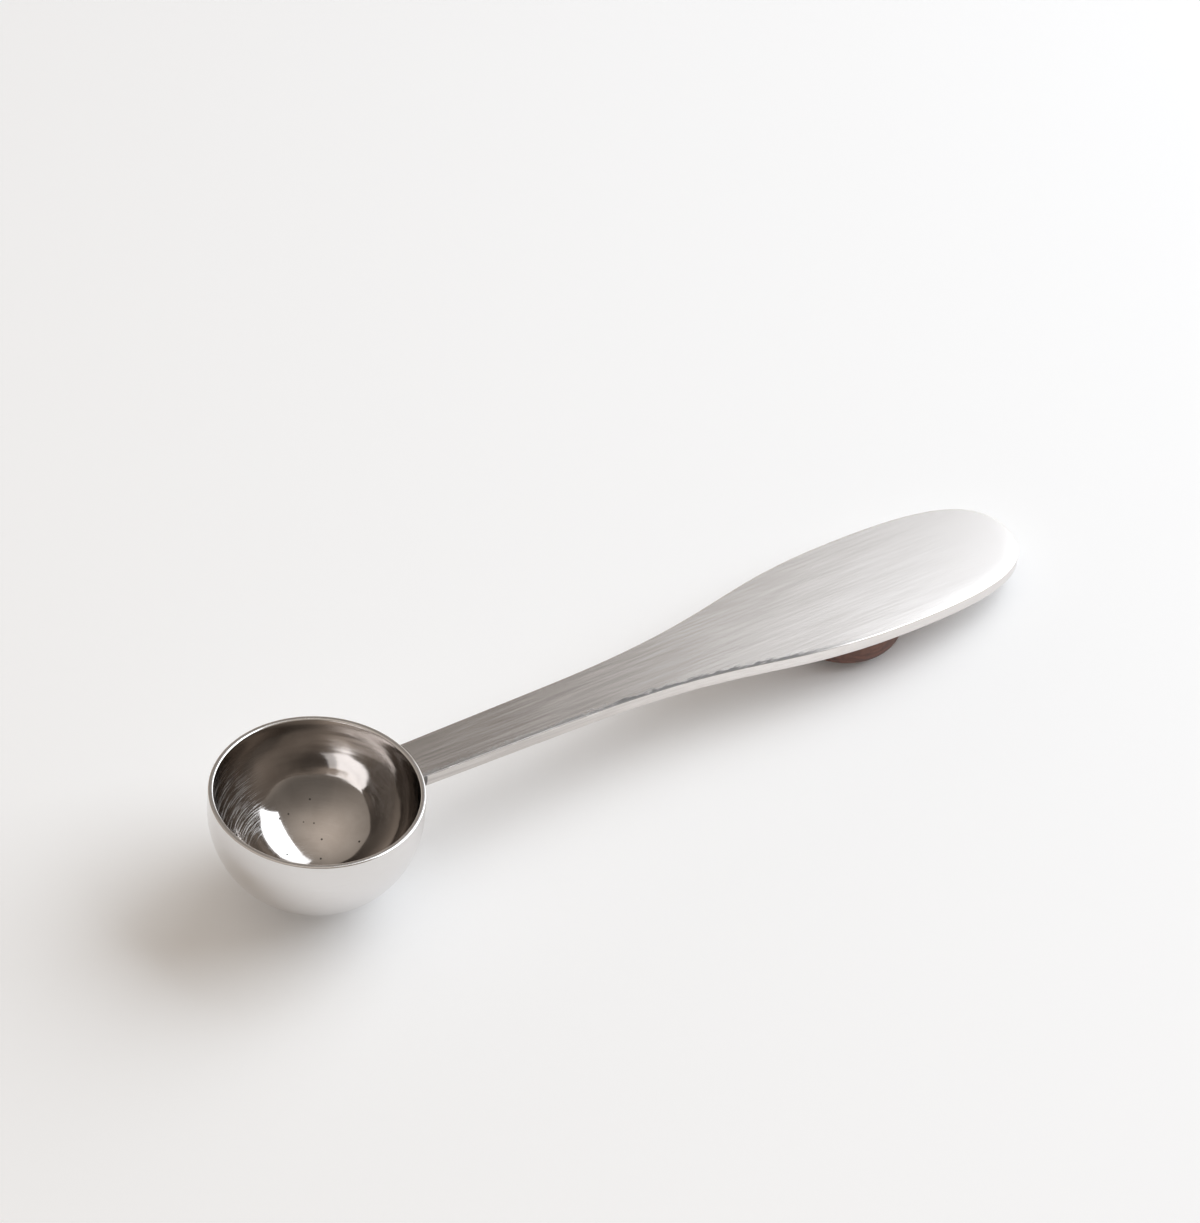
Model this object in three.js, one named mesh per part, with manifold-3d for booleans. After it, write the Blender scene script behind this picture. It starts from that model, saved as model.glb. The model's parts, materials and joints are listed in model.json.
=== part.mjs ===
// Measuring spoon: a deep cast steel bowl, a flat steel handle welded to its wall and a turned wooden foot.
// Millimetres, +Z up. It stands as it lies on a table, on its bowl and its foot, with the handle along +X.

import * as THREE from 'three';
import { mergeVertices } from 'three/addons/utils/BufferGeometryUtils.js';
import Module from 'manifold-3d';

// Bowl
const bowlDiameter = 39;
const bowlHeight = 23.5;
const bowlWall = 1; // at the rim
const bowlFloor = 3.6; // in the middle of the bottom, where the casting is thickest
const rimRound = 0.25; // on both edges of the flat rim

// Handle, with its reaches measured from the bowl's axis
const handleThickness = 2.5;
const handleDrop = 1.75; // from the rim down to the handle's top face
const neckWidth = 9.3; // where the handle meets the bowl
const shoulderWidth = 10.3; // where the neck starts to flare
const shoulderReach = 51.3;
const paddleWidth = 25.9;
const paddleReach = 122.6; // where the paddle is widest
const handleReach = 152.2; // to the tip
const handleEdge = 0.4; // round on the edges of the blank

// How far each outline curve follows its end tangents, as shares of its own length and width
const neckPull = 0.575;
const paddlePull = 0.43;
const tipPullAlong = 0.64;
const tipPullAcross = 0.8;

// Weld under the handle
const weldLeg = 1.6;
const weldThroat = 0.35; // how full the hollow face of the bead is, as a share of its leg

// Foot, turned from wood
const footDiameter = 23;
const footHeight = 6.6;
const footReach = 114.8; // from the bowl's axis
const footLowerEdge = 3.3; // round on its lower edge
const footUpperEdge = 0.5;
const footFloor = 1.5; // wood left below the bore

// Stud that the foot is bonded on
const studDiameter = 4;
const studBarb = 0.35; // how far each ring stands out
const studBarbCount = 3;
const collarDiameter = 7; // weld collar at the root of the stud
const collarHeight = 0.6;

// Clearances
const seatGap = 0.3; // room for weld metal and glue between joined pieces
const boreGap = 0.3; // glue room around the stud

// Facets
const bowlSides = 64;
const bowlSteps = 18;
const footSides = 48;
const studSides = 24;
const cornerSteps = 12;
const roundSteps = 3;
const outlineSteps = 24;

// Sizes that follow from the ones above
const bowlRadius = bowlDiameter / 2;
const hollowRadius = bowlRadius - bowlWall;
const hollowDepth = bowlHeight - bowlFloor;
const handleUnderside = -handleDrop - handleThickness;
const rimEdge = Math.min(rimRound, bowlWall / 2);
const bladeEdge = Math.min(handleEdge, handleThickness / 2);
const footRadius = footDiameter / 2;
const footTop = handleUnderside - seatGap;
const lowerEdge = Math.min(footLowerEdge, footHeight - footUpperEdge);
const studLength = footHeight - footFloor - boreGap;
const boreRadius = studDiameter / 2 + studBarb + boreGap;
const collarBoreRadius = Math.max(collarDiameter / 2 + boreGap, boreRadius);

const wasm = await Module();
wasm.setup();

function toSolid(geometry) {
  const bare = geometry.clone();
  bare.deleteAttribute('normal');
  bare.deleteAttribute('uv');
  const merged = mergeVertices(bare);
  const corners = merged.index.array;
  const triangles = [];
  for (let i = 0; i < corners.length; i += 3) {
    const [a, b, c] = corners.slice(i, i + 3);
    if (a !== b && b !== c && c !== a) {
      triangles.push(a, b, c);
    }
  }
  const vertProperties = new Float32Array(merged.attributes.position.array);
  const triVerts = new Uint32Array(triangles);
  return new wasm.Manifold(new wasm.Mesh({ numProp: 3, vertProperties, triVerts }));
}

function toGeometry(solid) {
  const { vertProperties, triVerts } = solid.getMesh();
  const geometry = new THREE.BufferGeometry();
  geometry.setAttribute('position', new THREE.BufferAttribute(vertProperties, 3));
  geometry.setIndex(new THREE.BufferAttribute(triVerts, 1));
  geometry.computeVertexNormals();
  return geometry;
}

// A round stretch of a profile, anticlockwise through one quarter turn from the one it starts at
function arc(centreX, centreY, radius, startQuarter, steps) {
  const quarter = Math.PI / 2;
  const start = startQuarter * quarter;
  const curve = new THREE.EllipseCurve(centreX, centreY, radius, radius, start, start + quarter);
  return curve.getPoints(steps);
}

function point(x, y) {
  return new THREE.Vector2(x, y);
}

// Turns a profile of radius and height about the Z axis
function turned(profile, sides) {
  return new THREE.LatheGeometry(profile, sides).rotateX(Math.PI / 2);
}

// Radius that a cup's wall turns into its bottom with, a hemisphere where the cup is deep enough
function bottomRadius(radius, depth) {
  return Math.min(radius, depth - rimEdge);
}

// Outline of a round-bottomed cup, from the middle of its bottom up to its straight wall
function cupOutline(radius, depth) {
  const round = bottomRadius(radius, depth);
  const bottom = arc(radius - round, round - depth, round, -1, bowlSteps);
  return round < radius ? [point(0, -depth), ...bottom] : bottom;
}

function bowlGeometry() {
  const outside = cupOutline(bowlRadius, bowlHeight);
  const outerRim = arc(bowlRadius - rimEdge, -rimEdge, rimEdge, 0, roundSteps);
  const innerRim = arc(hollowRadius + rimEdge, -rimEdge, rimEdge, 1, roundSteps);
  const inside = cupOutline(hollowRadius, hollowDepth).reverse();
  return turned([...outside, ...outerRim, ...innerRim, ...inside], bowlSides);
}

// Everything inside the bowl's outer wall, with the clearance that joined pieces keep to it
function bowlEnvelope() {
  const wall = bowlRadius + seatGap;
  const outline = cupOutline(wall, bowlHeight + seatGap);
  return toSolid(turned([...outline, point(wall, bowlWall), point(0, bowlWall)], bowlSides));
}

// Plan of the blank: straight neck, S-curve out to the paddle and a full round tip, mirrored about the X axis
function handleOutline() {
  const neckHalf = neckWidth / 2;
  const shoulderHalf = shoulderWidth / 2;
  const paddleHalf = paddleWidth / 2;
  const start = bowlRadius / 2; // well inside the wall, where the coping cut takes it away
  const neckSlope = (shoulderHalf - neckHalf) / (shoulderReach - bowlRadius);
  const flare = paddleReach - shoulderReach;
  const flareOut = shoulderReach + neckPull * flare;
  const flareIn = paddleReach - paddlePull * flare;
  const flareHalf = shoulderHalf + neckSlope * neckPull * flare;
  const tipAlong = paddleReach + tipPullAlong * (handleReach - paddleReach);
  const tipAcross = tipPullAcross * paddleHalf;
  const startHalf = neckHalf - neckSlope * (bowlRadius - start);
  const outline = new THREE.Shape();
  outline.moveTo(start, -startHalf);
  outline.lineTo(shoulderReach, -shoulderHalf);
  outline.bezierCurveTo(flareOut, -flareHalf, flareIn, -paddleHalf, paddleReach, -paddleHalf);
  outline.bezierCurveTo(tipAlong, -paddleHalf, handleReach, -tipAcross, handleReach, 0);
  outline.bezierCurveTo(handleReach, tipAcross, tipAlong, paddleHalf, paddleReach, paddleHalf);
  outline.bezierCurveTo(flareIn, paddleHalf, flareOut, flareHalf, shoulderReach, shoulderHalf);
  outline.lineTo(start, startHalf);
  outline.closePath();
  return outline;
}

// The blank with rounded edges, its end coped to the bowl's wall
function handleGeometry() {
  const blank = new THREE.ExtrudeGeometry(handleOutline(), {
    depth: handleThickness - 2 * bladeEdge,
    bevelThickness: bladeEdge,
    bevelSize: bladeEdge,
    bevelOffset: -bladeEdge,
    bevelSegments: roundSteps,
    curveSegments: outlineSteps,
  });
  blank.translate(0, 0, handleUnderside + bladeEdge);
  return toGeometry(toSolid(blank).subtract(bowlEnvelope()));
}

// A hollow-faced fillet between the handle's underside and the bowl's wall, feathered out towards both edges
function weldGeometry() {
  const top = handleUnderside - seatGap;
  const wall = bowlRadius + seatGap;
  const throat = weldThroat * weldLeg;
  const face = new THREE.QuadraticBezierCurve(
    point(wall, top - weldLeg), point(wall + throat, top - throat), point(wall + weldLeg, top));
  const root = [point(hollowRadius, top), point(hollowRadius, top - weldLeg)];
  const profile = [...root, ...face.getPoints(cornerSteps)];
  const ring = toSolid(turned([...profile, profile[0].clone()], bowlSides));
  const crescent = new THREE.CylinderGeometry(1, 1, bowlDiameter, studSides);
  crescent.rotateZ(Math.PI / 2);
  crescent.scale(1, neckWidth / 2, weldLeg);
  crescent.translate(bowlRadius, 0, top);
  return toGeometry(ring.intersect(toSolid(crescent)).subtract(bowlEnvelope()));
}

// Shank with raised rings that the glue grips, below a low weld collar
function studGeometry() {
  const shank = studDiameter / 2;
  const pitch = (studLength - collarHeight) / (studBarbCount + 1);
  const profile = [point(0, -studLength), point(shank, -studLength)];
  for (let i = studBarbCount; i > 0; i -= 1) {
    const ring = -collarHeight - i * pitch;
    profile.push(point(shank, ring), point(shank + studBarb, ring), point(shank, ring + pitch / 2));
  }
  const collar = collarDiameter / 2;
  profile.push(point(shank, -collarHeight), point(collar, -collarHeight), point(collar, 0), point(0, 0));
  return turned(profile, studSides);
}

// Button with a well rounded lower edge and a blind bore for the stud and its collar
function footGeometry() {
  const boreDepth = studLength + boreGap;
  const collarDepth = collarHeight + boreGap;
  const lower = arc(footRadius - lowerEdge, lowerEdge - footHeight, lowerEdge, -1, cornerSteps);
  const upper = arc(footRadius - footUpperEdge, -footUpperEdge, footUpperEdge, 0, roundSteps);
  const bore = [
    point(collarBoreRadius, 0),
    point(collarBoreRadius, -collarDepth),
    point(boreRadius, -collarDepth),
    point(boreRadius, -boreDepth),
    point(0, -boreDepth),
  ];
  return turned([point(0, -footHeight), ...lower, ...upper, ...bore], footSides);
}

// Lean of the spoon at rest, where the bowl's round bottom and the foot's lower edge touch the table together
function restTilt() {
  const round = bottomRadius(bowlRadius, bowlHeight);
  const rise = bowlHeight - round - footHeight + lowerEdge + footTop;
  const run = footReach + footRadius - lowerEdge - (bowlRadius - round);
  return Math.atan2(rise, run) + Math.asin((round - lowerEdge) / Math.hypot(rise, run));
}

const polishedSteel = new THREE.MeshStandardMaterial({ color: 0xb8b2ac, metalness: 1, roughness: 0.15 });
const brushedSteel = new THREE.MeshStandardMaterial({ color: 0xc3bfba, metalness: 1, roughness: 0.38 });
const weldSteel = new THREE.MeshStandardMaterial({ color: 0x9d9892, metalness: 1, roughness: 0.5 });
const darkWood = new THREE.MeshStandardMaterial({ color: 0x60443a, metalness: 0, roughness: 0.7 });

function piece(name, geometry, material) {
  const mesh = new THREE.Mesh(geometry, material);
  mesh.name = name;
  return mesh;
}

const bowl = piece('bowl', bowlGeometry(), polishedSteel);
const handle = piece('handle', handleGeometry(), brushedSteel);
const weldBead = piece('weld_bead', weldGeometry(), weldSteel);
const footStud = piece('foot_stud', studGeometry(), weldSteel);
const foot = piece('foot', footGeometry(), darkWood);
footStud.position.set(footReach, 0, footTop);
foot.position.set(footReach, 0, footTop);

// The spoon's own frame has the rim's centre at its origin. It leans until bowl and foot touch the table.
const spoon = new THREE.Group();
spoon.add(bowl, handle, weldBead, footStud, foot);
spoon.rotation.y = restTilt();

// The origin is on the table below the middle of the spoon
const measuringSpoon = new THREE.Group();
measuringSpoon.add(spoon);
const extent = new THREE.Box3().setFromObject(measuringSpoon, true);
spoon.position.set(-(extent.min.x + extent.max.x) / 2, 0, -extent.min.z);

export default measuringSpoon;
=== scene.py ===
import bpy
import bmesh
import json
import math
from mathutils import Matrix, Quaternion, Vector
from mathutils.geometry import interpolate_bezier


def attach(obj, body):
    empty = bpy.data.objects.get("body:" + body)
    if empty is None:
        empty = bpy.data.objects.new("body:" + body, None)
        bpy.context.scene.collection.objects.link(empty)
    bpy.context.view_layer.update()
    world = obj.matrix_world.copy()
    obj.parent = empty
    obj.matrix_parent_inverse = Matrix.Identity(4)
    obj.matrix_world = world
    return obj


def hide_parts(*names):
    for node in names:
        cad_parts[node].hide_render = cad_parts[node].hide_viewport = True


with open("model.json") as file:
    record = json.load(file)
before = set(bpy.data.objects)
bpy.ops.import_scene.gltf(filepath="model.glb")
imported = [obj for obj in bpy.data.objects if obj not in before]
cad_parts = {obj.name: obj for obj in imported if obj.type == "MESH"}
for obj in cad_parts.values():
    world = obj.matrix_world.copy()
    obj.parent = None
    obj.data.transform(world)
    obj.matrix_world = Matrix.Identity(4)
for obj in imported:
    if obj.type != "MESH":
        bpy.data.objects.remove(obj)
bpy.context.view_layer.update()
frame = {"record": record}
mm = 0.001
seam = 0.05                 # millimetres left of the gaps once weld metal and glue are in
glueGap = 0.3               # the gap that the solids leave for glue
tiny = 0.001                # millimetres, closer points are one
sharpAngle = 40             # degrees, steeper edges stay sharp
noiseSpan = (0.3, 0.7)      # where most of a noise's values lie
print("frame loaded")


# Mesh helpers: millimetres, rim centre at the origin and handle along X
def newPiece(name, bm, materials, node):
    bmesh.ops.transform(bm, matrix=layDown, verts=bm.verts)
    mesh = bpy.data.meshes.new(name)
    bm.to_mesh(mesh)
    bm.free()
    mesh.shade_smooth()
    mesh.set_sharp_from_angle(angle=math.radians(sharpAngle))
    for material in materials:
        mesh.materials.append(material)
    piece = bpy.data.objects.new(name, mesh)
    bpy.context.scene.collection.objects.link(piece)
    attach(piece, "root")
    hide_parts(node)
    print(name, len(mesh.polygons), "faces")


def lathe(bm, steps):
    bmesh.ops.spin(bm, geom=bm.verts[:] + bm.edges[:], cent=(0, 0, 0), axis=(0, 0, 1),
                   angle=2 * math.pi, steps=steps, use_merge=True)
    bmesh.ops.remove_doubles(bm, verts=bm.verts, dist=tiny)
    bmesh.ops.recalc_face_normals(bm, faces=bm.faces)


def roundVert(bm, vert, radius, segments):
    bmesh.ops.bevel(bm, geom=[vert], offset=radius, offset_type="OFFSET", affect="VERTICES",
                    segments=segments, profile=0.5, material=-1)


def chain(bm, corners):
    verts = [bm.verts.new((x, 0, z)) for x, z in corners]
    for a, b in zip(verts, verts[1:]):
        bm.edges.new((a, b))
    return verts


def vertsOf(geom):
    return [part for part in geom if isinstance(part, bmesh.types.BMVert)]


def smooth(share):
    share = min(max(share, 0), 1)
    return share * share * (3 - 2 * share)


# Grain direction for the brushed faces: U runs across the brushing
def layGrain(bm, across, along):
    layer = bm.loops.layers.uv.new("grain")
    for face in bm.faces:
        middle = face.calc_center_median()
        for loop in face.loops:
            loop[layer].uv = (across(loop.vert.co, middle), along(loop.vert.co, middle))


# Node helpers: a value is a number, a colour or another node's socket
def put(tree, socket, value):
    if isinstance(value, bpy.types.NodeSocket):
        tree.links.new(value, socket)
    else:
        socket.default_value = value


def calc(tree, operation, *values):
    node = tree.nodes.new("ShaderNodeMath")
    node.operation = operation
    for socket, value in zip(node.inputs, values):
        put(tree, socket, value)
    return node.outputs[0]


def times(tree, first, second):
    return calc(tree, "MULTIPLY", first, second)


def vectorCalc(tree, operation, *values):
    node = tree.nodes.new("ShaderNodeVectorMath")
    node.operation = operation
    for socket, value in zip(node.inputs, values):
        put(tree, socket, value)
    return node.outputs["Value" if operation in ("LENGTH", "DOT_PRODUCT") else "Vector"]


def split(tree, vector):
    node = tree.nodes.new("ShaderNodeSeparateXYZ")
    tree.links.new(vector, node.inputs[0])
    return node.outputs["X"], node.outputs["Y"], node.outputs["Z"]


def ramp(tree, value, low, high, toLow=0.0, toHigh=1.0):
    node = tree.nodes.new("ShaderNodeMapRange")
    node.interpolation_type = "SMOOTHSTEP"
    for socket, given in zip(node.inputs, (value, low, high, toLow, toHigh)):
        put(tree, socket, given)
    return node.outputs[0]


def noise(tree, vector, scale, detail=2.0, roughness=0.5, distortion=0.0):
    node = tree.nodes.new("ShaderNodeTexNoise")
    for name, value in (("Vector", vector), ("Scale", scale), ("Detail", detail), ("Roughness", roughness),
                        ("Distortion", distortion)):
        put(tree, node.inputs[name], value)
    return node.outputs["Fac"]


# Noise with its own number of features to the millimetre along X, Y and Z
def stretchedNoise(tree, point, density, detail=2.0, roughness=0.5, distortion=0.0):
    return noise(tree, vectorCalc(tree, "MULTIPLY", point, density), 1.0, detail, roughness, distortion)


def blend(tree, share, first, second):
    node = tree.nodes.new("ShaderNodeMix")
    node.data_type = "RGBA"
    put(tree, node.inputs[0], share)
    put(tree, node.inputs[6], first)
    put(tree, node.inputs[7], second)
    return node.outputs[2]


def bump(tree, height, depth, under=None):
    node = tree.nodes.new("ShaderNodeBump")
    put(tree, node.inputs["Height"], height)
    node.inputs["Distance"].default_value = depth * mm
    node.inputs["Strength"].default_value = 1
    if under is not None:
        tree.links.new(under, node.inputs["Normal"])
    return node.outputs["Normal"]


# A warm grey gains more red than it loses blue
def grey(level, warmth=0.0):
    return (level * (1 + warmth), level, level * (1 - warmth * 0.7), 1)


# Spoon millimetres at the shaded point
def spoonSpace(tree, x=0, y=0, z=0):
    coords = tree.nodes.new("ShaderNodeTexCoord")
    place = tree.nodes.new("ShaderNodeMapping")
    place.vector_type = "TEXTURE"
    place.inputs["Location"].default_value = layDown @ Vector((x, y, z))
    place.inputs["Rotation"].default_value = (0, lean, 0)
    place.inputs["Scale"].default_value = (mm, mm, mm)
    tree.links.new(coords.outputs["Object"], place.inputs["Vector"])
    return place.outputs["Vector"]


# Full at a place on the spoon, fading to nothing between two distances from it
def nearPlace(tree, place, inner, outer, amount=1):
    return ramp(tree, vectorCalc(tree, "LENGTH", spoonSpace(tree, *place)), inner, outer, amount, 0)


def newMaterial(name, metallic):
    material = bpy.data.materials.new(name)
    material.use_nodes = True
    shader = material.node_tree.nodes["Principled BSDF"]
    shader.inputs["Metallic"].default_value = metallic
    return material, material.node_tree, shader


def wire(tree, shader, colour, rough, normal):
    tree.links.new(colour, shader.inputs["Base Color"])
    tree.links.new(rough, shader.inputs["Roughness"])
    tree.links.new(normal, shader.inputs["Normal"])


def brushAlongGrain(tree, shader, amount):
    tangent = tree.nodes.new("ShaderNodeTangent")
    tangent.direction_type = "UV_MAP"
    tangent.uv_map = "grain"
    tree.links.new(tangent.outputs["Tangent"], shader.inputs["Tangent"])
    shader.inputs["Anisotropic"].default_value = amount


# Cast bowl, satin outside and polished inside
bowl = dict(
    radius=19.5, height=23.5, wall=1.0,
    floor=3.6,                                      # thickness in the middle of the bottom
    rimRound=0.25, rimSegments=4, around=192, steps=48,
    insideSlack=0.02,                               # faces this close to the inner radius are inside
    ringHeight=-2.5, grainScale=20,                 # the polishing turns about this point of the axis
    satin=dict(
        dark=grey(0.735, 0.025), pale=grey(0.765, 0.02), rough=(0.13, 0.17),
        rings=(5.0, 75.0, 4, 0.65), ringRough=0.04, ringDepth=0.0003, cloud=(0.16, 3), brushing=0.4,
    ),
    polish=dict(
        dark=grey(0.48, 0.07), pale=grey(0.53, 0.06), rough=(0.06, 0.11), brushing=0.25,
        cloud=(0.22, 3), cloudSpan=(0.35, 0.65),
        rings=(3.0, 110.0, 3, 0.6), ringDepth=0.4, reliefDepth=0.0012,
        rimShade=(1.0, 1.45, 0, 0.35), rimShadeColour=grey(0.3, 0.08),                # painted shade: darker towards the rim
        cutRings=(2.1, 105.0, 2, 0.6), cutSpan=(0.5, 0.62),                     # circular scratches
        cutRough=0.35, cutShare=0.5, cutDepth=2.5, cutColour=grey(0.8, 0.03),
        scuff=((-10, 12, -9.5), 4, 11), stray=(0.09, 2), straySpan=(0.42, 0.62, 0, 0.12),
        paintedSheen=((14.8, 11, -2.5), 4.5, 9.5), paintedSheenHeight=(-7.6, -5.2),           # pale warm bands painted on the upper wall by the handle: painted reflection, made rougher too
        paintedSheenRings=(1.0, 12.0), paintedSheenSpan=(0.35, 0.6, 0.3, 1),
        paintedSheenRough=0.12, paintedSheenShare=0.9, paintedSheenColour=grey(0.9, 0.06),
        farWallShade=((6.5, 17, -4.2), 3, 9.5, 0.62), farWallShadeColour=grey(0.12, 0.1),       # painted shade: a darker patch on the far wall
        pitScale=0.6, pitMix=(0.6, 0.4, 0), pitPick=(0.6, 0.62),                # a few pits in the bottom
        pitSize=(0.09, 0.15, 1, 0), pitReach=(0.75, 0.95, 1, 0), pitDepth=6, pitColour=grey(0.08, 0.1),
        wave=(0.13, 1), waveShare=3.0, waveDepth=0.05,                          # waves that polishing left
        wallRings=(0.7, 8.0, 1), wallFrom=(0.85, 1.2),
    ),
)


# 0 in the middle of the bottom, near a quarter turn at the rim
def polarAngle(tree, point):
    out = vectorCalc(tree, "LENGTH", vectorCalc(tree, "MULTIPLY", point, (1, 1, 0)))
    return calc(tree, "ARCTAN2", out, calc(tree, "SUBTRACT", bowl["ringHeight"], split(tree, point)[2]))


# Noise around the bowl's axis: slow along the ring, quick from rim to bottom
def ringNoise(tree, point, around, along, detail=2.0, roughness=0.5):
    ring = vectorCalc(tree, "SCALE", vectorCalc(tree, "NORMALIZE", vectorCalc(tree, "MULTIPLY", point, (1, 1, 0))))
    ring.node.inputs["Scale"].default_value = around
    rise = tree.nodes.new("ShaderNodeCombineXYZ")
    tree.links.new(times(tree, polarAngle(tree, point), along), rise.inputs["Z"])
    return noise(tree, vectorCalc(tree, "ADD", ring, rise.outputs[0]), 1.0, detail, roughness)


def satinSteel():
    look = bowl["satin"]
    material, tree, shader = newMaterial("bowlSatin", 1)
    point = spoonSpace(tree)
    rings = ringNoise(tree, point, *look["rings"])
    cloud = noise(tree, point, *look["cloud"])
    colour = blend(tree, ramp(tree, rings, *noiseSpan), look["dark"], look["pale"])
    rough = calc(tree, "MULTIPLY_ADD", rings, look["ringRough"], ramp(tree, cloud, *noiseSpan, *look["rough"]))
    wire(tree, shader, colour, rough, bump(tree, rings, look["ringDepth"]))
    brushAlongGrain(tree, shader, look["brushing"])
    return material


def bottomPits(tree, point, polar):
    look = bowl["polish"]
    spot = tree.nodes.new("ShaderNodeTexVoronoi")
    spot.inputs["Scale"].default_value = look["pitScale"]
    tree.links.new(point, spot.inputs["Vector"])
    picked = ramp(tree, vectorCalc(tree, "DOT_PRODUCT", spot.outputs["Color"], look["pitMix"]), *look["pitPick"])
    pits = times(tree, ramp(tree, spot.outputs["Distance"], *look["pitSize"]), picked)
    return times(tree, pits, ramp(tree, polar, *look["pitReach"]))


def polishedSteel():
    look = bowl["polish"]
    material, tree, shader = newMaterial("bowlPolish", 1)
    point = spoonSpace(tree)
    polar = polarAngle(tree, point)
    cloud = noise(tree, point, *look["cloud"])
    stray = ramp(tree, noise(tree, point, *look["stray"]), *look["straySpan"])
    scuffed = calc(tree, "MAXIMUM", stray, nearPlace(tree, *look["scuff"]))
    cuts = times(tree, ramp(tree, ringNoise(tree, point, *look["cutRings"]), *look["cutSpan"]), scuffed)
    # painted reflection: pale warm bands painted on the upper wall by the handle, with more roughness there
    paintedSheen = times(tree, nearPlace(tree, *look["paintedSheen"]), ramp(tree, split(tree, point)[2], *look["paintedSheenHeight"]))
    streaks = ramp(tree, ringNoise(tree, point, *look["paintedSheenRings"]), *look["paintedSheenSpan"])
    paintedSheen = times(tree, paintedSheen, streaks)
    pits = bottomPits(tree, point, polar)
    colour = blend(tree, ramp(tree, cloud, *look["cloudSpan"]), look["dark"], look["pale"])
    # painted shade: the upper wall's colour darkens towards the rim
    colour = blend(tree, ramp(tree, polar, *look["rimShade"]), colour, look["rimShadeColour"])
    colour = blend(tree, times(tree, paintedSheen, look["paintedSheenShare"]), colour, look["paintedSheenColour"])
    # painted shade: darker patch on the far wall
    colour = blend(tree, nearPlace(tree, *look["farWallShade"]), colour, look["farWallShadeColour"])
    colour = blend(tree, times(tree, cuts, look["cutShare"]), colour, look["cutColour"])
    colour = blend(tree, pits, colour, look["pitColour"])
    rough = calc(tree, "MULTIPLY_ADD", cuts, look["cutRough"], ramp(tree, cloud, *noiseSpan, *look["rough"]))
    rough = calc(tree, "MULTIPLY_ADD", paintedSheen, look["paintedSheenRough"], rough)
    sunk = calc(tree, "MULTIPLY_ADD", cuts, look["cutDepth"], times(tree, pits, look["pitDepth"]))
    rings = ringNoise(tree, point, *look["rings"])
    relief = calc(tree, "SUBTRACT", times(tree, rings, look["ringDepth"]), sunk)
    wall = times(tree, ringNoise(tree, point, *look["wallRings"]), ramp(tree, polar, *look["wallFrom"]))
    waves = calc(tree, "MULTIPLY_ADD", noise(tree, point, *look["wave"]), look["waveShare"], wall)
    normal = bump(tree, relief, look["reliefDepth"], bump(tree, waves, look["waveDepth"]))
    wire(tree, shader, colour, rough, normal)
    brushAlongGrain(tree, shader, look["brushing"])
    return material


# Angle around the axis, unbroken across each face
def ringAngle(co, middle):
    start = math.atan2(middle.y, middle.x)
    step = math.atan2(co.y, co.x) - start if co.xy.length > tiny else 0
    return start + (step + math.pi) % (2 * math.pi) - math.pi


def cupArc(bm, radius, depth):
    pole = bm.verts.new((0, 0, -depth))
    swept = bmesh.ops.spin(bm, geom=[pole], cent=(0, 0, radius - depth), axis=(0, 1, 0),
                           angle=-math.pi / 2, steps=bowl["steps"])
    return vertsOf(swept["geom_last"])[0]


def makeBowl():
    outer, inner = bowl["radius"], bowl["radius"] - bowl["wall"]
    depth = bowl["height"] - bowl["floor"]
    bm = bmesh.new()
    outerEnd = cupArc(bm, outer, bowl["height"])
    innerEnd = cupArc(bm, inner, depth)
    lip = chain(bm, [(outer, 0), (inner, 0)])
    bm.edges.new((outerEnd, lip[0]))
    bm.edges.new((lip[1], innerEnd))
    for vert in lip:
        roundVert(bm, vert, bowl["rimRound"], bowl["rimSegments"])
    lathe(bm, bowl["around"])
    centre = Vector((0, 0, inner - depth))
    for face in bm.faces:
        middle = face.calc_center_median()
        reach = middle.xy.length if middle.z > centre.z else (middle - centre).length
        face.material_index = 1 if reach < inner + bowl["insideSlack"] else 0
    layGrain(bm, lambda co, m: bowl["grainScale"] * math.atan2(co.xy.length, bowl["ringHeight"] - co.z),
             lambda co, m: bowl["grainScale"] * ringAngle(co, m))
    newPiece("bowlShell", bm, [satinSteel(), polishedSteel()], "bowl")


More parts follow.
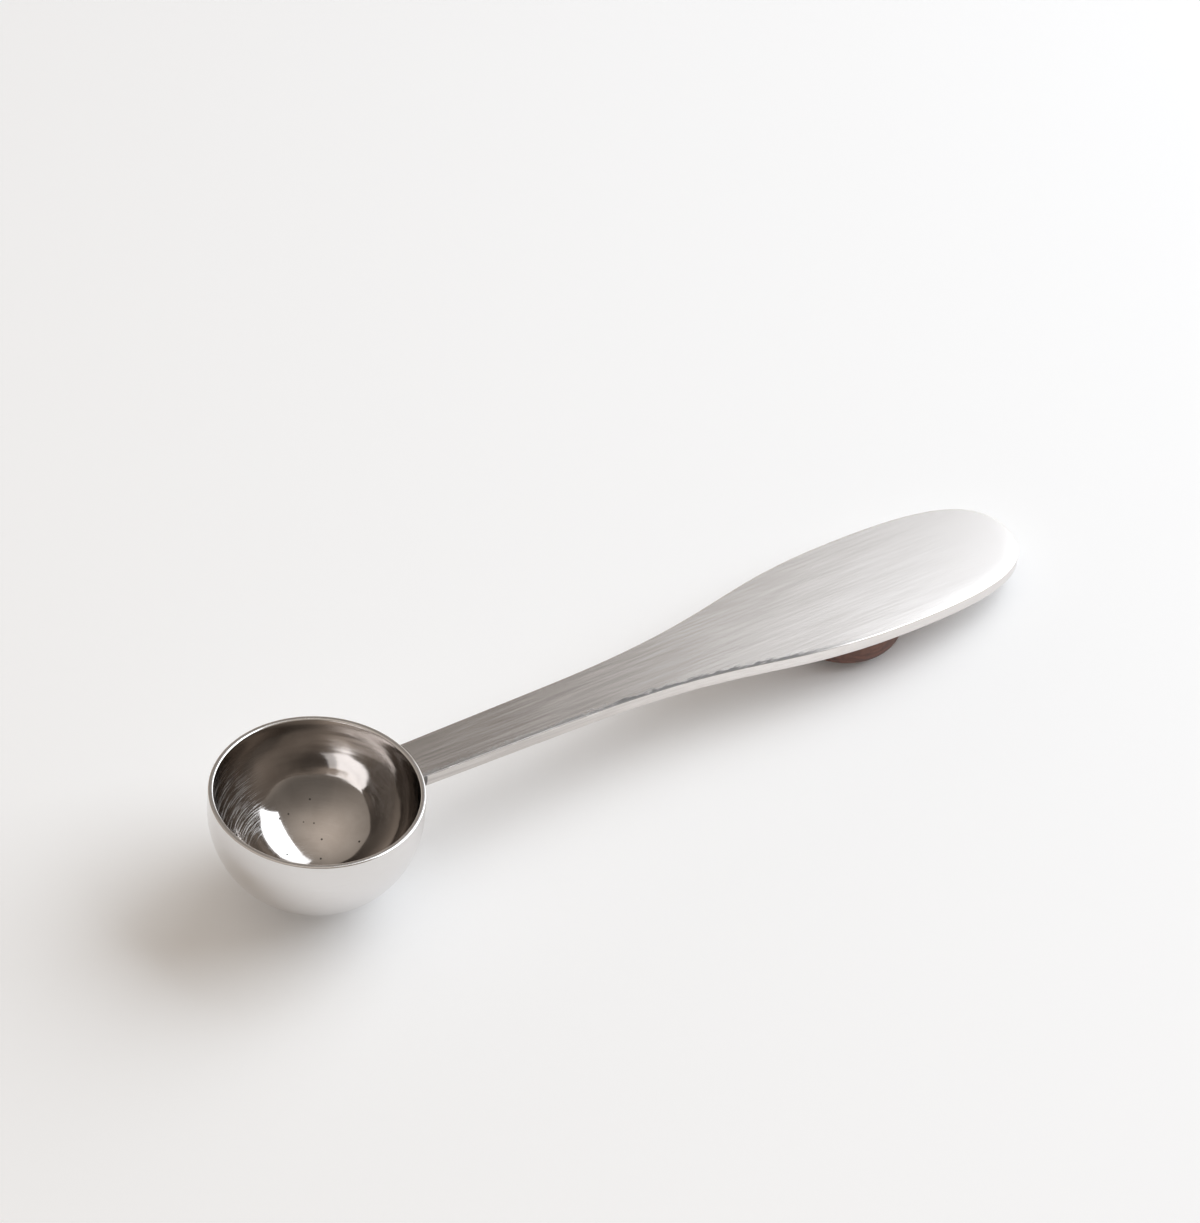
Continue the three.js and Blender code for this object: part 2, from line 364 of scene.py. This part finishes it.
# Brushed handle, one flat blank
handle = dict(
    top=-1.75, thickness=2.5, neckHalf=4.65, shoulderHalf=5.15, shoulderReach=51.3,
    paddleHalf=12.95, paddleReach=122.6, tipReach=152.2,
    neckPull=0.575, paddlePull=0.43, tipPullAlong=0.64, tipPullAcross=0.8, curveSteps=40,
    neckBack=38, neckStep=2, trim=19,               # the neck starts inside the bowl and is trimmed there
    edge=0.18, edgeSegments=4,
    topRing=0.03, lowerRing=0.4,                    # rings of faces that keep the flats' shading flat
    rollWidth=3.2, rollDrop=0.032, rollSteps=8,     # buffed near edge of the paddle's top
    rollFrom=103, rollTo=140, rollSide=6,           # it grows between these reaches and fades across the tip
    cornerGap=1.0, cornerFrom=4.0,                  # the cope stands off at its near corner
    brush=dict(
        fine=((0.085, 2.7, 2.7), 1), fineShare=0.8, long=((0.03, 1.3, 1.3), 1), longShare=0.2, contrast=(0.28, 0.72),
        cloud=((0.03, 0.14, 0.14), 2), rough=(0.195, 0.205), markRough=0.03, depth=0.00012, brushing=0.4,
        tipwardLight=(20, 100),                            # reaches between which the colour is painted paler: painted light for the softbox's reflection
        neckDark=grey(0.47, 0.07), neckPale=grey(0.61, 0.06),
        paddleDark=grey(0.765, 0.05), paddlePale=grey(0.845, 0.04),
        scratch=((0.045, 2.6, 2.6), 2), scratchSpan=(0.64, 0.72), scratchWhere=(0.45, 0.6),
        scratchShare=0.25, scratchDepth=0.4, scratchColour=grey(0.92, 0.03),
        tipShade=(108, 146, 0, 0.75), tipShadeColour=grey(0.735, 0.045),            # brush marks fade into an even tone at the tip, painted darker there: painted shade
    ),
    # painted reflections along the edges: a ragged dark line and pale painted highlights, and a dark crevice at the
    # joint
    paintedEdgesAndCrevice=dict(
        ragged=((0.5, 2, 2), 4, 0.7), width=(0.07, 0.3, 1, 0), topSlack=0.03,
        start=(40, 64, 0.55, 1), end=(96, 114, 1, 0), nearSide=(-2.5, -1, 1, 0), farSide=(1, 2.5),
        paintedHighlight=(0.48, 0.6), rough=0.2, share=0.88, colour=grey(0.1, 0.02), paintedHighlightColour=grey(0.95, 0.02),
        crevice=(19.95, -4.7, -2.8), creviceStretch=(1, 1, 0.3), creviceSize=(0.3, 0.6, 1, 0),
    ),
)

# How the spoon lies on the table
mounts = {m["name"]: m for m in frame["record"]["mounts"]}
spoonUp = Vector(mounts["paddle_top"]["axis"])
lean = math.atan2(spoonUp.x, spoonUp.z)
turn = Matrix.Rotation(lean, 4, "Y")
rimCentre = Vector(mounts["paddle_top"]["pos_m"]) - turn @ (Vector((handle["paddleReach"], 0, handle["top"])) * mm)
layDown = Matrix.Translation(rimCentre) @ turn @ Matrix.Scale(mm, 4)


# Dark crevice at the near corner of the joint
def jointGrime(tree):
    paintedEdgesAndCrevice = handle["paintedEdgesAndCrevice"]
    away = vectorCalc(tree, "MULTIPLY", spoonSpace(tree, *paintedEdgesAndCrevice["crevice"]), paintedEdgesAndCrevice["creviceStretch"])
    return ramp(tree, vectorCalc(tree, "LENGTH", away), *paintedEdgesAndCrevice["creviceSize"])


# Painted reflections on the handle's edges: a ragged dark line painted on the neck's near edge, a pale painted
# highlight on the bevel beside it, and the far edge painted pale
def paintedEdgeLines(tree, point):
    paintedEdgesAndCrevice, top, edge = handle["paintedEdgesAndCrevice"], handle["top"], handle["edge"]
    x, y, z = split(tree, point)
    fromEdge = tree.nodes.new("ShaderNodeAttribute")
    fromEdge.attribute_name = "edge"
    ragged = stretchedNoise(tree, point, *paintedEdgesAndCrevice["ragged"])
    width = calc(tree, "ADD", calc(tree, "SUBTRACT", ragged, 0.5), fromEdge.outputs["Fac"])
    along = times(tree, ramp(tree, x, *paintedEdgesAndCrevice["start"]), ramp(tree, x, *paintedEdgesAndCrevice["end"]))
    along = times(tree, along, ramp(tree, y, *paintedEdgesAndCrevice["nearSide"]))
    onTop = ramp(tree, z, top - edge, top - paintedEdgesAndCrevice["topSlack"])
    line = times(tree, times(tree, ramp(tree, width, *paintedEdgesAndCrevice["width"]), onTop), along)
    onBevel = calc(tree, "SUBTRACT", ramp(tree, z, top - 2 * edge, top - edge), onTop)
    paintedHighlight = times(tree, times(tree, onBevel, ramp(tree, ragged, *paintedEdgesAndCrevice["paintedHighlight"])), along)
    far = times(tree, ramp(tree, y, *paintedEdgesAndCrevice["farSide"]), ramp(tree, z, top - edge / 2, top, 1, 0))
    return line, calc(tree, "MAXIMUM", paintedHighlight, far)


def brushedSteel():
    look, paintedEdgesAndCrevice = handle["brush"], handle["paintedEdgesAndCrevice"]
    material, tree, shader = newMaterial("handleBrushed", 1)
    point = spoonSpace(tree)
    reach = split(tree, point)[0]
    fine = stretchedNoise(tree, point, *look["fine"])
    long = stretchedNoise(tree, point, *look["long"])
    cloud = stretchedNoise(tree, point, *look["cloud"])
    marks = calc(tree, "MULTIPLY_ADD", long, look["longShare"], times(tree, fine, look["fineShare"]))
    scratch = ramp(tree, stretchedNoise(tree, point, *look["scratch"]), *look["scratchSpan"])
    scratch = times(tree, scratch, ramp(tree, cloud, *look["scratchWhere"]))
    # painted light: the colour grows paler from neck to paddle, standing in for the softbox's reflection
    tipwardLight = ramp(tree, reach, *look["tipwardLight"])
    darkLine = blend(tree, tipwardLight, look["neckDark"], look["paddleDark"])
    paleLine = blend(tree, tipwardLight, look["neckPale"], look["paddlePale"])
    line, paintedHighlight = paintedEdgeLines(tree, point)
    line = calc(tree, "MAXIMUM", line, jointGrime(tree))
    colour = blend(tree, ramp(tree, marks, *look["contrast"]), darkLine, paleLine)
    colour = blend(tree, times(tree, scratch, look["scratchShare"]), colour, look["scratchColour"])
    # painted shade: the tip fades to an even, darker tone that holds back the softbox's reflection
    colour = blend(tree, ramp(tree, reach, *look["tipShade"]), colour, look["tipShadeColour"])
    # pale painted highlight on the bevel and the far edge, then the painted dark reflection line and the crevice
    colour = blend(tree, paintedHighlight, colour, paintedEdgesAndCrevice["paintedHighlightColour"])
    colour = blend(tree, times(tree, line, paintedEdgesAndCrevice["share"]), colour, paintedEdgesAndCrevice["colour"])
    rough = calc(tree, "MULTIPLY_ADD", marks, look["markRough"], ramp(tree, cloud, *noiseSpan, *look["rough"]))
    rough = calc(tree, "MULTIPLY_ADD", calc(tree, "MAXIMUM", line, paintedHighlight), paintedEdgesAndCrevice["rough"], rough)
    height = calc(tree, "SUBTRACT", long, times(tree, scratch, look["scratchDepth"]))
    wire(tree, shader, colour, rough, bump(tree, height, look["depth"]))
    brushAlongGrain(tree, shader, look["brushing"])
    return material


# One side of the outline, from inside the bowl to the tip
def handleSide():
    flare = handle["paddleReach"] - handle["shoulderReach"]
    slope = (handle["shoulderHalf"] - handle["neckHalf"]) / (handle["shoulderReach"] - bowl["radius"])
    shoulder = Vector((handle["shoulderReach"], handle["shoulderHalf"]))
    leave = shoulder + Vector((1, slope)) * (handle["neckPull"] * flare)
    paddle = Vector((handle["paddleReach"], handle["paddleHalf"]))
    arrive = paddle - Vector((handle["paddlePull"] * flare, 0))
    tip = Vector((handle["tipReach"], 0))
    go = paddle + Vector((handle["tipPullAlong"] * (tip.x - paddle.x), 0))
    close = tip + Vector((0, handle["tipPullAcross"] * paddle.y))
    neck = [shoulder - Vector((1, slope)) * back for back in range(handle["neckBack"], 0, -handle["neckStep"])]
    flareCurve = interpolate_bezier(shoulder, leave, arrive, paddle, handle["curveSteps"])
    tipCurve = interpolate_bezier(paddle, go, close, tip, handle["curveSteps"])
    return neck + flareCurve + tipCurve[1:]


def inset(bm, face, width):
    return bmesh.ops.inset_region(bm, faces=[face], thickness=width, use_even_offset=True)["faces"]


# Rings of faces inside the top's outline, dropped a little along the paddle's near edge
def rollTop(bm, topFace, edgeLayer):
    steps, ring = handle["rollSteps"], {}
    inset(bm, topFace, handle["topRing"])
    for step in range(steps + 1):
        strip = inset(bm, topFace, handle["rollWidth"] / steps)
        ring.update((vert, step) for face in strip for vert in face.verts)
    middle = handle["top"] - handle["thickness"] / 2
    for vert in bm.verts:
        if vert.co.z > middle:
            grown = (vert.co.x - handle["rollFrom"]) / (handle["rollTo"] - handle["rollFrom"])
            near = smooth(0.5 - vert.co.y / handle["rollSide"] / 2)
            vert[edgeLayer] = ring.get(vert, 0) / steps
            vert.co.z -= handle["rollDrop"] * smooth(grown) * near * (1 - vert[edgeLayer]) ** 2
        else:
            vert[edgeLayer] = 1


# The end follows the bowl's wall
def copeEnd(bm):
    cut = bmesh.ops.bisect_plane(bm, geom=bm.verts[:] + bm.edges[:] + bm.faces[:], plane_co=(handle["trim"], 0, 0),
                                 plane_no=(1, 0, 0), clear_inner=True)["geom_cut"]
    bmesh.ops.edgeloop_fill(bm, edges=[part for part in cut if isinstance(part, bmesh.types.BMEdge)])
    for vert in vertsOf(cut):
        vert.co.x = math.sqrt((bowl["radius"] + seam) ** 2 - vert.co.y ** 2)
        aside = (-vert.co.y - handle["cornerFrom"]) / (handle["neckHalf"] - handle["cornerFrom"])
        vert.co.x += handle["cornerGap"] * smooth(aside)


def makeHandle():
    bm = bmesh.new()
    edgeLayer = bm.verts.layers.float.new("edge")       # 0 on the top's outline, 1 inside it
    side = handleSide()
    outline = side + [Vector((p.x, -p.y)) for p in reversed(side[:-1])]
    top = bm.faces.new([bm.verts.new((p.x, p.y, handle["top"])) for p in outline])
    lower = bmesh.ops.extrude_face_region(bm, geom=[top], use_keep_orig=True)["geom"]
    bmesh.ops.translate(bm, vec=(0, 0, -handle["thickness"]), verts=vertsOf(lower))
    bmesh.ops.recalc_face_normals(bm, faces=bm.faces)
    rims = [e for e in bm.edges if abs(e.verts[0].co.z - e.verts[1].co.z) < tiny]
    bmesh.ops.bevel(bm, geom=rims, offset=handle["edge"], offset_type="OFFSET", affect="EDGES",
                    segments=handle["edgeSegments"], profile=0.5, material=-1)
    flats = sorted(bm.faces, key=lambda f: f.calc_area())[-2:]
    flats.sort(key=lambda f: f.normal.z)
    inset(bm, flats[0], handle["lowerRing"])
    rollTop(bm, flats[1], edgeLayer)
    copeEnd(bm)
    bmesh.ops.recalc_face_normals(bm, faces=bm.faces)
    layGrain(bm, lambda co, m: co.y + co.z, lambda co, m: co.x)
    newPiece("handleBlank", bm, [brushedSteel()], "handle")


# Fillet weld under the joint
weld = dict(
    leg=1.6, throat=0.35, pull=0.7, bulge=1.6, faceSteps=14,      # hollow face of the bead
    reach=0.98, steps=56, endSize=0.03, ripples=11, rippleDepth=0.07,
    dark=grey(0.42, 0.1), pale=grey(0.6, 0.04), cloud=(1.2, 4, 0.6), rough=(0.3, 0.5), grain=(5, 3), depth=0.03,
)


def weldSteel():
    material, tree, shader = newMaterial("weldSteel", 1)
    point = spoonSpace(tree)
    cloud = noise(tree, point, *weld["cloud"])
    wire(tree, shader, blend(tree, cloud, weld["dark"], weld["pale"]), ramp(tree, cloud, *noiseSpan, *weld["rough"]),
         bump(tree, noise(tree, point, *weld["grain"]), weld["depth"]))
    return material


def makeWeld():
    corner = Vector((bowl["radius"] + seam, 0, handle["top"] - handle["thickness"] - seam))
    leg, throat = weld["leg"], weld["leg"] * weld["throat"]
    little, much = throat * weld["pull"], throat * weld["bulge"]
    face = interpolate_bezier(corner + Vector((0, 0, -leg)), corner + Vector((little, 0, -much)),
                              corner + Vector((much, 0, -little)), corner + Vector((leg, 0, 0)), weld["faceSteps"])
    half = math.asin(handle["neckHalf"] / bowl["radius"]) * weld["reach"]
    bm = bmesh.new()
    ring = chain(bm, [(p.x, p.z) for p in [corner] + face])
    bm.edges.new((ring[-1], ring[0]))
    bmesh.ops.rotate(bm, verts=bm.verts, cent=(0, 0, 0), matrix=Matrix.Rotation(-half, 3, "Z"))
    bmesh.ops.spin(bm, geom=bm.verts[:] + bm.edges[:], cent=(0, 0, 0), axis=(0, 0, 1), angle=2 * half,
                   steps=weld["steps"])
    ends = [e for e in bm.edges if len(e.link_faces) == 1]
    bmesh.ops.holes_fill(bm, edges=ends, sides=0)
    for vert in bm.verts:
        place = math.atan2(vert.co.y, vert.co.x) / half
        root = Vector((corner.x * math.cos(place * half), corner.x * math.sin(place * half), corner.z))
        size = math.sqrt(max(1 - place * place, weld["endSize"]))
        size *= 1 - weld["rippleDepth"] * abs(math.sin(place * weld["ripples"] * math.pi / 2))
        vert.co = root + (vert.co - root) * size
    bmesh.ops.recalc_face_normals(bm, faces=bm.faces)
    newPiece("weldFillet", bm, [weldMaterial], "weld_bead")


# Turned wooden foot
foot = dict(
    reach=114.8, radius=11.5, height=6.6, floor=1.5, boreRadius=2.65, collarRadius=3.8, collarDepth=0.9, around=128,
    lowerEdge=3.3, lowerSegments=16, upperEdge=0.5, upperSegments=5,
    wood=dict(
        dark=(0.075, 0.034, 0.026, 1), pale=(0.185, 0.085, 0.063, 1), warm=(0.19, 0.095, 0.066, 1),
        bands=((0.06, 0.9, 0.9), 3, 0.55, 1.2), bandSpan=(0.32, 0.68), bandDepth=0.3, rough=(0.5, 0.66),
        warp=((0.05, 0.25, 0.25), 3), warpSpan=(0.35, 0.65, 0, 0.35),
        pores=((0.35, 7, 7), 3, 0.6), poreSpan=(0.6, 0.72), poreShare=0.6, poreColour=(0.028, 0.015, 0.012, 1),
        depth=0.04,
    ),
)


def turnedWood():
    look = foot["wood"]
    material, tree, shader = newMaterial("footWood", 0)
    point = spoonSpace(tree, foot["reach"])
    warp = stretchedNoise(tree, point, *look["warp"])
    bands = stretchedNoise(tree, point, *look["bands"])
    pores = ramp(tree, stretchedNoise(tree, point, *look["pores"]), *look["poreSpan"])
    colour = blend(tree, ramp(tree, bands, *look["bandSpan"]), look["dark"], look["pale"])
    colour = blend(tree, ramp(tree, warp, *look["warpSpan"]), colour, look["warm"])
    colour = blend(tree, times(tree, pores, look["poreShare"]), colour, look["poreColour"])
    height = calc(tree, "SUBTRACT", times(tree, bands, look["bandDepth"]), pores)
    wire(tree, shader, colour, ramp(tree, bands, *noiseSpan, *look["rough"]), bump(tree, height, look["depth"]))
    return material


def makeFoot():
    radius, height = foot["radius"], foot["height"] + glueGap - seam     # glued up against the handle
    bore = -height + foot["floor"]
    bm = bmesh.new()
    verts = chain(bm, [(0, -height), (radius, -height), (radius, 0), (foot["collarRadius"], 0),
                       (foot["collarRadius"], -foot["collarDepth"]), (foot["boreRadius"], -foot["collarDepth"]),
                       (foot["boreRadius"], bore), (0, bore)])
    roundVert(bm, verts[1], foot["lowerEdge"], foot["lowerSegments"])
    roundVert(bm, verts[2], foot["upperEdge"], foot["upperSegments"])
    lathe(bm, foot["around"])
    bmesh.ops.translate(bm, vec=(foot["reach"], 0, handle["top"] - handle["thickness"] - seam), verts=bm.verts)
    newPiece("footButton", bm, [turnedWood()], "foot")


weldMaterial = weldSteel()
makeBowl()
makeHandle()
makeWeld()
makeFoot()
for materialSlot in bpy.data.objects["foot_stud"].material_slots:
    materialSlot.material = weldMaterial

# Camera: angles in degrees, focal length in pixels of the picture
picture = dict(width=1200, height=1223)
camera = dict(azimuth=-31.8402, elevation=45.5077, roll=-1.2111, distance=1.13205,
              lookAt=(0.01271, 0.02945, 0), focal=6000)


def makeCamera():
    side, rise = math.radians(camera["azimuth"]), math.radians(camera["elevation"])
    back = Vector((math.sin(side) * math.cos(rise), -math.cos(side) * math.cos(rise), math.sin(rise)))
    data = bpy.data.cameras.new("camera")
    data.lens = camera["focal"] * data.sensor_width / max(picture.values())
    place = bpy.data.objects.new("camera", data)
    place.location = Vector(camera["lookAt"]) + back * camera["distance"]
    place.rotation_mode = "QUATERNION"
    level = (-back).to_track_quat("-Z", "Y")
    place.rotation_quaternion = level @ Quaternion((0, 0, 1), math.radians(camera["roll"]))
    bpy.context.scene.collection.objects.link(place)
    bpy.context.scene.camera = place
    print("camera", round(data.lens, 1), "mm")


# White table, a little paler away from the softbox
table = dict(size=5, rough=0.85, away=grey(0.985), near=grey(0.835), evenSpan=(-0.25, 0.25), glow=0.045)


def makeFloor():
    bm = bmesh.new()
    bmesh.ops.create_grid(bm, x_segments=1, y_segments=1, size=table["size"])
    mesh = bpy.data.meshes.new("floor")
    bm.to_mesh(mesh)
    bm.free()
    floor = bpy.data.objects.new("floor", mesh)
    material, tree, shader = newMaterial("floorWhite", 0)
    shader.inputs["Roughness"].default_value = table["rough"]
    coords = tree.nodes.new("ShaderNodeTexCoord")
    evened = ramp(tree, split(tree, coords.outputs["Object"])[0], *table["evenSpan"])
    tree.links.new(blend(tree, evened, table["away"], table["near"]), shader.inputs["Base Color"])
    path = tree.nodes.new("ShaderNodeLightPath")
    seen = calc(tree, "MAXIMUM", path.outputs["Is Camera Ray"], path.outputs["Is Glossy Ray"])
    seen = calc(tree, "MAXIMUM", seen, path.outputs["Is Transmission Ray"])
    shader.inputs["Emission Color"].default_value = (1, 1, 1, 1)
    tree.links.new(times(tree, seen, table["glow"]), shader.inputs["Emission Strength"])
    mesh.materials.append(material)
    bpy.context.scene.collection.objects.link(floor)
    print("floor")


# One softbox in two panels, and a room with a pale ceiling
studio = dict(
    place=(0.753, -0.055, 0.597), aim=(-0.066, -0.055, 0.0235), roll=10, height=0.89, tint=(0.935, 1, 1.07),
    core=(-0.63, 0.34, 3.65), side=(0.34, 0.685, 1.78),             # from, to, radiance: dimmer at its far side
    roomTint=(1.12, 1, 0.885, 1), walls=0.18, ceiling=0.43, ceilingFall=5,
    glowFrom=(140, 40), glow=(0.42, 0.97, 0, 0.14),
    shadeFrom=(-104, 36), shade=(0.8, 0.96, 1, 0.8),
    sweepFrom=(58, 0), sweep=(0.2, 0.8, 0.35, 0.75), sweepHeight=(0.1, 0.48, 1, 0),     # white paper behind the spoon
)


def addPanel(name, start, end, radiance):
    data = bpy.data.lights.new(name, "AREA")
    data.shape = "RECTANGLE"
    width, height = end - start, studio["height"]
    data.size, data.size_y = width, height
    data.energy = radiance * math.pi * width * height
    data.color = studio["tint"]
    panel = bpy.data.objects.new(name, data)
    panel.rotation_mode = "QUATERNION"
    level = (Vector(studio["aim"]) - Vector(studio["place"])).to_track_quat("-Z", "Y")
    turned = level @ Quaternion((0, 0, 1), math.radians(studio["roll"]))
    panel.rotation_quaternion = turned
    panel.location = Vector(studio["place"]) + turned @ Vector(((start + end) / 2, 0, 0))
    bpy.context.scene.collection.objects.link(panel)


# How nearly the world is seen in a direction given by azimuth and elevation
def alongSight(tree, facing, azimuth, elevation):
    side, rise = math.radians(azimuth), math.radians(elevation)
    aim = (math.cos(side) * math.cos(rise), math.sin(side) * math.cos(rise), math.sin(rise))
    return vectorCalc(tree, "DOT_PRODUCT", facing, aim)


def makeLights():
    addPanel("softbox", *studio["core"])
    addPanel("softboxSide", *studio["side"])
    world = bpy.context.scene.world or bpy.data.worlds.new("studio")
    bpy.context.scene.world = world
    world.use_nodes = True
    tree = world.node_tree
    facing = tree.nodes.new("ShaderNodeTexCoord").outputs["Generated"]
    up = split(tree, facing)[2]
    ceiling = calc(tree, "POWER", calc(tree, "MAXIMUM", up, 0), studio["ceilingFall"])
    level = calc(tree, "MULTIPLY_ADD", ceiling, studio["ceiling"], studio["walls"])
    glow = ramp(tree, alongSight(tree, facing, *studio["glowFrom"]), *studio["glow"])
    shade = ramp(tree, alongSight(tree, facing, *studio["shadeFrom"]), *studio["shade"])
    sweep = ramp(tree, alongSight(tree, facing, *studio["sweepFrom"]), *studio["sweep"])
    sweep = times(tree, ramp(tree, up, *studio["sweepHeight"]), sweep)
    level = calc(tree, "ADD", sweep, times(tree, calc(tree, "ADD", level, glow), shade))
    shader = tree.nodes["Background"]
    shader.inputs["Color"].default_value = studio["roomTint"]
    tree.links.new(level, shader.inputs["Strength"])
    print("softbox and room")


makeCamera()
makeFloor()
makeLights()
bpy.context.scene.view_settings.view_transform = "Standard"
